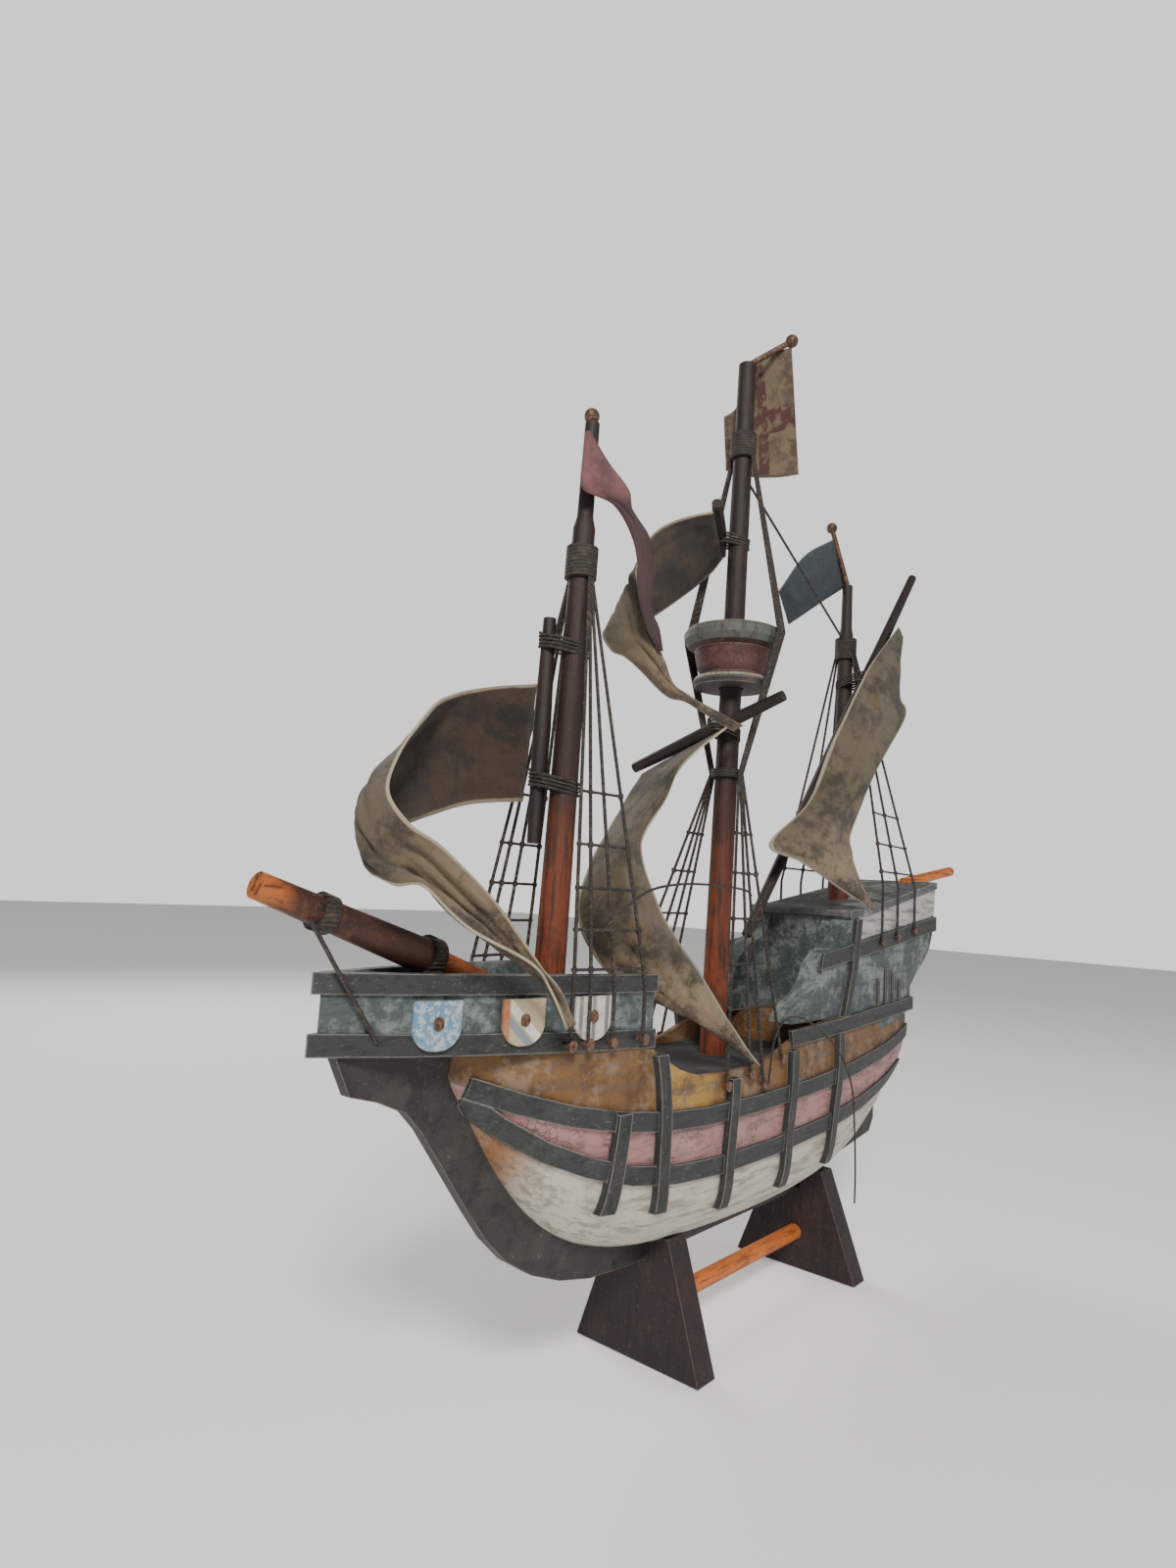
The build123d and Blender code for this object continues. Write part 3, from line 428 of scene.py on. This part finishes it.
# ---- Rigging -------------------------------------------------------------------------------
# Dark waxed thread, twisted, with a hitch at every crossing of a ratline and a shroud, turns
# wound round the mastheads, and a tie that holds each yard to its mast.
def thread_look(name, pale, wind_scale, direction):
    made, wires, shader = blank_material(name)
    values = {"Vector": wires.place(), "Scale": wind_scale, "Distortion": 1.5, "Detail": 2.0}
    wave = wires.add("ShaderNodeTexWave", values, bands_direction=direction).outputs["Fac"]
    dust = wires.ramp(wires.noise(wires.place(), 300.0, 4.0, 0.7), 0.5, 0.65)
    colour = wires.mix(wires.math("MULTIPLY", dust, 0.5), (0.026, 0.020, 0.017), pale)
    colour = wires.mix(wires.math("MULTIPLY", wave, 0.4), colour, (0.075, 0.055, 0.042))
    shader.inputs["Roughness"].default_value = 0.72
    wires.finish(shader, colour, wave, 0.0006, 1.0)
    return made


thread = thread_look("waxed thread", (0.15, 0.12, 0.09), 260.0, "DIAGONAL")
finish_node(thread, "fore_shrouds", "main_shrouds", "mizzen_shrouds", "stays")
finish_node(thread_look("wound thread", (0.13, 0.09, 0.06), 210.0, "Z"), "lashings")

mm = 0.001
# Each port shroud's upper and lower end, and the ratlines' heights, in millimetres
fore_top = (-70.4, -4.6, 327)
fore_feet = [(-91, -27.2, 161), (-83, -28.4, 161), (-71.5, -30.2, 161), (-55, -31.8, 161)]
main_feet = [(3, -34, 117), (22, -34, 119.6), (34, -34, 114), (50, -34, 123.6)]
mizzen_feet = [(167, -32.1, 207), (191, -31.3, 207), (220, -30.4, 207)]
runs = [([(fore_top, foot) for foot in fore_feet], (167, 181, 196, 212, 232)),
        ([((45.5 + i, -8.2, 256), foot) for i, foot in enumerate(main_feet)], (147, 166, 186, 207, 226)),
        ([((176.9 + 1.9 * i, -4.8, 350), foot) for i, foot in enumerate(mizzen_feet)], (215, 231, 249))]
hitches = []
for shrouds, levels in runs:
    for level in levels:
        for top, foot in shrouds:
            share = (top[2] - level) / (top[2] - foot[2])
            point = Vector(top).lerp(Vector(foot), share) * mm
            hitches += [point, Vector((point.x, -point.y, point.z))]


def scatter_tree(material):
    """Small balls on every point, each scaled a little differently."""
    tree = bpy.data.node_groups.new("hitches", "GeometryNodeTree")
    tree.interface.new_socket(name="Points", in_out="INPUT", socket_type="NodeSocketGeometry")
    radius = tree.interface.new_socket(name="Radius", in_out="INPUT", socket_type="NodeSocketFloat")
    tree.interface.new_socket(name="Mesh", in_out="OUTPUT", socket_type="NodeSocketGeometry")
    wires = Wiring(tree)
    source, target = tree.nodes.new("NodeGroupInput"), tree.nodes.new("NodeGroupOutput")
    dots = wires.add("GeometryNodeMeshToPoints", {"Mesh": source.outputs["Points"]})
    bead = wires.add("GeometryNodeMeshIcoSphere", {"Radius": source.outputs["Radius"], "Subdivisions": 2})
    size = wires.add("FunctionNodeRandomValue", {0: (0.75, 0.75, 0.9), 1: (1.2, 1.3, 1.5), "Seed": 4},
                     data_type="FLOAT_VECTOR")
    placed = wires.add("GeometryNodeInstanceOnPoints", {
        "Points": dots.outputs[0], "Instance": bead.outputs["Mesh"], "Scale": size.outputs[0]})
    real = wires.add("GeometryNodeRealizeInstances", {0: placed.outputs[0]})
    painted = wires.add("GeometryNodeSetMaterial", {"Geometry": real.outputs[0], "Material": material})
    tree.links.new(painted.outputs[0], target.inputs["Mesh"])
    return tree, radius.identifier


def grown(name, points, tree, values):
    """A plain mesh of what the tree makes on these points."""
    seed = bpy.data.meshes.new(name + "_points")
    seed.from_pydata(points, [], [])
    carrier = in_scene(name + "_points", seed)
    modifier = carrier.modifiers.new(name, "NODES")
    modifier.node_group = tree
    for key, value in values.items():
        modifier[key] = value
    graph = bpy.context.evaluated_depsgraph_get()
    mesh = bpy.data.meshes.new_from_object(carrier.evaluated_get(graph), depsgraph=graph)
    bpy.data.objects.remove(carrier)  # its modifier goes with it
    return in_scene(name, mesh)


hitch_size = 0.00115
hitch_tree, radius_socket = scatter_tree(thread)
knots = grown("hitches", hitches, hitch_tree, {radius_socket: hitch_size})
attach(knots, "ship")


def thread_along(name, points, radius, body):
    """A round thread through these points, riding on one body."""
    curve = bpy.data.curves.new(name, "CURVE")
    curve.dimensions = "3D"
    spline = curve.splines.new("POLY")
    spline.points.add(len(points) - 1)
    for spot, point in zip(spline.points, points):
        spot.co = (*point, 1)
    curve.bevel_depth = radius
    curve.bevel_resolution = 2
    curve.use_fill_caps = True
    curve.materials.append(thread)
    made = in_scene(name, curve)
    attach(made, body)
    return made


tie_turns, tie_steps, tie_pitch, tie_lean, tie_thread = 4, 28, 0.0015, 0.002, 0.00065


def tie(name, mast_spot, yard_spot, mast_room, yard_room, body):
    """Turns of thread round a mast and a yard, pulled slightly askew. Spots and rooms in mm."""
    a, b = Vector(mast_spot) * mm, Vector(yard_spot) * mm
    out = (b - a).normalized()
    centre = (a + b) / 2 + out * (yard_room - mast_room) * mm / 2
    side = Vector((-out.y, out.x, 0)).normalized()
    reach = (b - a).length / 2 + (mast_room + yard_room) * mm / 2
    width = max(mast_room, yard_room) * mm * 1.12
    points = []
    for step in range(tie_turns * tie_steps + 1):
        angle = 2 * math.pi * step / tie_steps
        rise = (step / tie_steps - tie_turns / 2) * tie_pitch + tie_lean * math.cos(angle)
        wobble = 0.0004 * noise.noise(Vector((step * 0.3, 0, len(name))))
        points.append(centre + out * (reach + wobble) * math.cos(angle) + side * width * math.sin(angle)
                      + Vector((0, 0, rise)))
    return thread_along(name, points, tie_thread, body)


tie("fore_yard_upper_tie", (-71.1, 0, 292), (-78.7, 7.9, 292), 5.2, 3.4, "fore_spar")
tie("fore_yard_lower_tie", (-72.6, 0, 236), (-79.9, 7.2, 236), 5.8, 3.5, "fore_spar")
tie("main_yard_tie", (47.4, 0, 277), (35.2, -1, 277), 5.9, 4.0, "main_spar")
tie("topsail_yard_tie", (49.3, 0, 377), (43.5, 8, 377), 5.2, 3.6, "main_spar")
tie("mizzen_yard_tie", (178.7, 0, 330), (176.5, -14, 330), 5.2, 3.9, "mizzen_spar")


# ---- Sails ---------------------------------------------------------------------------------
# Strips of cloth stiffened with size and set in curls, dark olive and soot-streaked, paler
# along the hems. Each is drawn between two edges, with a belly and small folds.
def along_curve(points, count):
    """The points of a smooth curve through these, evenly spread from one to the next."""
    p = np.array(points, float)
    p = np.vstack([2 * p[0] - p[1], p, 2 * p[-1] - p[-2]])
    t = np.linspace(0, len(points) - 1, count)
    i = np.minimum(t.astype(int), len(points) - 2)
    f = (t - i)[:, None]
    a, b, c, d = p[i], p[i + 1], p[i + 2], p[i + 3]
    return 0.5 * (2 * b + (c - a) * f + (2 * a - 5 * b + 4 * c - d) * f**2 + (3 * b - a - 3 * c + d) * f**3)


def wrinkles(long, wide, across, down, layer):
    """Smooth noise over a sheet. across and down are the steps between its points."""
    return np.array([[noise.noise(Vector((j * across, i * down, layer))) for j in range(wide)]
                     for i in range(long)])


def cloth_grid(edge_a, edge_b, belly, folds, long, wide):
    """The sheet's points in metres, with its belly and its small folds."""
    a, b = along_curve(edge_a, long), along_curve(edge_b, long)
    u = np.linspace(0, 1, wide)[None, :, None]
    v = np.linspace(0, 1, long)[:, None, None]
    grid = a[:, None, :] * (1 - u) + b[:, None, :] * u
    grid = grid + np.array(belly) * np.sin(np.pi * u) * np.sin(np.pi * np.clip(v * 1.02, 0, 1)) ** 0.6
    across, down = np.gradient(grid, axis=1), np.gradient(grid, axis=0)
    normal = np.cross(across, down)
    normal /= np.maximum(np.linalg.norm(normal, axis=2, keepdims=True), 1e-9)
    ripple = wrinkles(long, wide, 0.22, 0.13, 3.0)
    crease = wrinkles(long, wide, 0.5, 0.05, 8.0)
    freedom = (np.sin(np.pi * u[..., 0]) ** 0.5) * (np.sin(np.pi * v[..., 0]) ** 0.5) + 0.15
    return (grid + normal * ((ripple * folds + crease * folds * 0.5) * freedom)[..., None]) * mm


def cloth_mesh(name, grid, materials):
    """A smooth mesh of the grid, with its flat lie in the UV map named cut."""
    long, wide = grid.shape[:2]
    mesh = bpy.data.meshes.new(name)
    faces = [(i * wide + j, i * wide + j + 1, (i + 1) * wide + j + 1, (i + 1) * wide + j)
             for i in range(long - 1) for j in range(wide - 1)]
    mesh.from_pydata(grid.reshape(-1, 3).tolist(), [], faces)
    layer = mesh.uv_layers.new(name="cut")
    for loop in mesh.loops:
        i, j = divmod(loop.vertex_index, wide)
        layer.data[loop.index].uv = (j / (wide - 1), i / (long - 1))
    for face in mesh.polygons:
        face.use_smooth = True
    for material in materials:
        mesh.materials.append(material)
    return mesh


def cloth(name, edge_a, edge_b, belly, folds, thick, materials, body, long=90, wide=22):
    """One sheet between two edges. belly is how far its middle stands out, in millimetres."""
    grid = cloth_grid(edge_a, edge_b, belly, folds, long, wide)
    mesh = cloth_mesh(name, grid, materials)
    made = in_scene(name, mesh)
    shell = made.modifiers.new("thickness", "SOLIDIFY")
    shell.thickness = thick * mm
    shell.offset = 0
    shell.material_offset = len(materials) - 1
    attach(made, body)
    return made


cloth_wear, w, given, result = shader_group(
    "sized cloth",
    [("Base", "Color"), ("Streak", "Color"), ("Hem", "Color"), ("Streak amount", "Float")],
    [("Color", "Color"), ("Height", "Float")],
)
place = w.place()
uv = w.cut()
side, length, _ = w.xyz(uv)
weave_a = w.math("SINE", w.math("MULTIPLY", side, 420.0))
weave_b = w.math("SINE", w.math("MULTIPLY", length, 1500.0))
stains = w.noise(place, 55.0, 10.0, 0.75)
fibre = w.noise(w.stretched(uv, (60.0, 9.0, 1.0)), 3.0, 8.0, 0.7)
soot = w.math("MULTIPLY", w.ramp(stains, 0.44, 0.60), given["Streak amount"])
colour = w.mix(soot, given["Base"], given["Streak"])
colour = w.mix(w.math("MULTIPLY", w.ramp(fibre, 0.50, 0.68), 0.45), colour, given["Streak"])
rim = w.math("ABSOLUTE", w.math("SUBTRACT", side, 0.5))
rim = w.math("ADD", rim, w.math("MULTIPLY", w.math("SUBTRACT", stains, 0.5), 0.05))
colour = w.mix(w.math("MULTIPLY", w.ramp(rim, 0.462, 0.482), 0.8), colour, given["Hem"])
w.tree.links.new(colour, result["Color"])
height = w.math("ADD", w.math("MULTIPLY", w.math("MULTIPLY", weave_a, weave_b), 0.12), stains)
w.tree.links.new(w.math("ADD", height, w.math("MULTIPLY", fibre, 0.5)), result["Height"])


def sailcloth(name, base, streak, hem, amount):
    """A stiff painted cloth. base may be a function that wires its colour."""
    made, wires, shader = blank_material(name)
    group = wires.add("ShaderNodeGroup", {
        "Base": base(wires) if callable(base) else opaque(base), "Streak": opaque(streak),
        "Hem": opaque(hem), "Streak amount": amount}, node_tree=cloth_wear)
    wires.finish(shader, group.outputs["Color"], group.outputs["Height"], 0.0011, 0.9)
    shader.inputs["Roughness"].default_value = 0.82
    shader.inputs["Sheen Weight"].default_value = 0.12
    return made


def from_head(head, clew):
    """A cloth's colour, from the spar it hangs from to its loose corner."""
    def wired(wires):
        run = wires.xyz(wires.cut())[1]
        return wires.mix(wires.ramp(run, 0.45, 0.85), head, clew)
    return wired


outer = sailcloth("sail outer face", from_head((0.135, 0.100, 0.058), (0.30, 0.215, 0.130)),
                  (0.036, 0.026, 0.016), (0.50, 0.42, 0.29), 0.85)
# The inner face is the same cloth painted much darker. This is painted shade on the sails' hollow side, not a
# different cloth.
inner_painted_shade = sailcloth("sail inner face painted shade", from_head((0.050, 0.026, 0.014), (0.10, 0.065, 0.036)),
                  (0.010, 0.006, 0.004), (0.36, 0.29, 0.20), 0.85)
fore_sail = cloth(
    "fore_sail_cloth", [
        (-83.4, 8, 275), (-98.4, 15, 271.7), (-117.1, 16, 265.3), (-135.6, 8, 255.5),
        (-157.6, -6, 236.8), (-170.6, -18, 221.9), (-167.9, -26, 211.9), (-157.1, -30, 205.2),
        (-137.4, -33.5, 189.9), (-119.5, -35.5, 171.6), (-107.9, -35, 162.7), (-96, -33, 149.5)], [
        (-87.2, 8, 227.7), (-107.1, 15, 224.8), (-125.1, 16, 218.6), (-146.1, 8, 212.2),
        (-167.2, -5, 205.3), (-171.5, -14, 197.5), (-167.8, -21, 193.6), (-160.1, -26, 193.5),
        (-145.4, -31.5, 181.6), (-121.4, -36.5, 170.2), (-113.7, -37, 161.9), (-103.7, -36, 149.1)],
    (-3, 6, 0), 3.2, 0.9, (outer, inner_painted_shade), "fore_spar")
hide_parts("fore_sail")
main_sail = cloth(
    "main_sail_cloth", [
        (33, -8, 276.7), (15.4, 4, 257.1), (5.4, 6, 239.2), (-17, 2, 216.2), (-17.7, -8, 192.3),
        (-11.7, -15, 176.6), (-4.7, -22, 163.9), (1.6, -29.5, 149.7), (7.8, -35, 138.2),
        (23.5, -38, 123.6)], [
        (34.3, 43, 255.8), (14.2, 36, 240.7), (-5.7, 30, 224.4), (-24.9, 24, 207.3),
        (-38.5, 18, 192), (-41.8, 15, 182.5), (-37.9, 12, 171.6), (-33.7, 5, 162),
        (-25.6, -6, 154), (-10.6, -21, 145.7)],
    (-6, -7, 0), 2.8, 0.9, (outer, inner_painted_shade), "main_spar")
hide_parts("main_sail")
topsail = cloth(
    "topsail_cloth", [
        (17.5, -4.5, 380.3), (6.4, 8, 375.3), (-8, 12, 363.7), (-26.3, 6, 342.3),
        (-35.5, -4, 321.2), (-37.8, -12, 305.1), (-28.8, -18, 284.7), (-4.7, -20, 278.1),
        (34.9, -15.5, 277.5)], [
        (48, 9, 369), (43.6, 16, 358.1), (-2.2, 20, 323), (-39, 12, 309), (-44.4, 3, 297.3),
        (-41.3, -5, 292.7), (-28.5, -14, 280.1), (-14.2, -18, 278.2), (27.1, -15, 273.3)],
    (-3, -5, 0), 2.6, 0.9, (outer, inner_painted_shade), "main_spar")
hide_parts("topsail")
olive = sailcloth("lateen outer face", from_head((0.080, 0.074, 0.054), (0.24, 0.18, 0.115)),
                  (0.024, 0.022, 0.016), (0.42, 0.36, 0.26), 0.8)
mizzen_sail = cloth(
    "lateen_sail_cloth", [
        (205.3, -22.5, 369.2), (168.8, -21.5, 338.3), (144, -20, 308.8), (122.5, -18, 279),
        (104.9, -15, 247.3), (67.2, -14, 223.1), (86.7, -22, 215.1), (115.9, -29, 203.6),
        (148.7, -33, 193.8)], [
        (208.2, -24, 363.5), (198.4, -27, 342), (190.3, -30, 321.7), (196, -31, 309.5),
        (155.3, -29, 266.6), (137.5, -25, 234.4), (134.9, -27, 223.5), (135.1, -30, 212.9),
        (151.7, -34, 192.8)],
    (0, -5, 0), 2.8, 0.9, (olive, outer), "mizzen_spar")
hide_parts("mizzen_sail")


# ---- Flags ---------------------------------------------------------------------------------
# Painted paper-thin cloth: a dusty pink pennant that curls away in a maroon tail, a tan banner
# with a maroon cross, and a blue-grey flag.
def banner(wires):
    side, run, _ = wires.xyz(wires.cut())
    bar = wires.math("COMPARE", side, 0.52, 0.10)
    post = wires.math("COMPARE", run, 0.60, 0.06)
    worn = wires.ramp(wires.noise(wires.place(), 160.0, 5.0, 0.7), 0.40, 0.52)
    cross = wires.math("MULTIPLY", wires.math("MAXIMUM", bar, post), worn)
    return wires.mix(wires.math("MULTIPLY", cross, 0.9), (0.27, 0.195, 0.12), (0.10, 0.014, 0.018))


def pennant(wires):
    run = wires.xyz(wires.cut())[1]
    return wires.mix(wires.ramp(run, 0.26, 0.36), (0.27, 0.095, 0.095), (0.060, 0.018, 0.016))


pink_flag = sailcloth("pennant cloth", pennant, (0.085, 0.026, 0.030), (0.14, 0.045, 0.045), 0.7)
main_cloth = sailcloth("banner cloth", banner, (0.085, 0.045, 0.032), (0.20, 0.14, 0.09), 0.75)
blue_flag = sailcloth("swallowtail cloth", (0.024, 0.042, 0.052), (0.010, 0.016, 0.020),
                      (0.09, 0.11, 0.11), 0.6)
for flag, edge_a, edge_b, belly, material in (
    ("fore_flag", [
        (-77, -4, 380), (-79, -5, 367), (-79.5, -6.5, 354), (-64, -10, 352), (-55, -14, 339),
        (-54, -17, 323), (-53, -18, 311), (-46, -18, 302), (-39, -18, 296)], [
        (-73.4, -2.8, 382), (-66, -7, 371), (-55, -10, 362), (-54, -12, 353), (-45, -15, 343),
        (-46, -18, 325), (-47, -19, 312), (-41, -19, 305), (-37, -19, 296)], (0, -1.5, 0), pink_flag),
    ("main_flag", [
        (50.6, 13, 449.4), (58, 10, 457.5), (61.7, 4, 477.9), (60, -8, 481.9), (61.1, -20, 482.5)], [
        (54.8, 13, 421), (62.9, 10, 421.2), (70.2, 4, 420.9), (74.9, -7, 420),
        (80.8, -16, 421.6)], (2, 0, 0), main_cloth),
    ("mizzen_flag", [
        (167.5, 5, 419.5), (142.2, 11, 401.9), (123.6, 17, 375.5)], [
        (185, 3.5, 394.5), (164.6, 10, 379.3), (136.9, 17, 358.8)], (0, -2, 0), blue_flag),
):
    made = cloth(flag + "_cloth", edge_a, edge_b, belly, 0.9, 0.6, (material,), "ship",
                 long=60, wide=20)
    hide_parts(flag)

# ---- Loose thread --------------------------------------------------------------------------
# A broken shroud end springs up from its nail, loops over and hangs down the port side. A
# second thread arches loosely from the fore shrouds to the main shrouds, past the main sail.
def loose_thread(name, route, radius):
    """A free thread along this route, which is in millimetres."""
    points = along_curve(route, 70) * mm
    made = thread_along(name, points, radius, "ship")
    return made


hanging = loose_thread("hanging_thread_end", [
        (34.5, -36.3, 114.5), (37, -37, 133), (46, -37.4, 141.5), (60, -38.4, 141.5),
        (78, -40.2, 134), (95.2, -42, 122), (107, -43, 104.9), (108.9, -44, 86),
        (110.2, -44.4, 64.9), (111.1, -44, 49.2)], 0.00045)
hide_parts("hanging_thread")
loose_thread("slack_thread", [(-88.5, -36, 181), (-82, -41.5, 190), (-70, -43, 196.5), (-50, -43, 199.5),
                              (-22, -41, 200), (6, -37, 199), (24, -30, 197)], 0.0005)
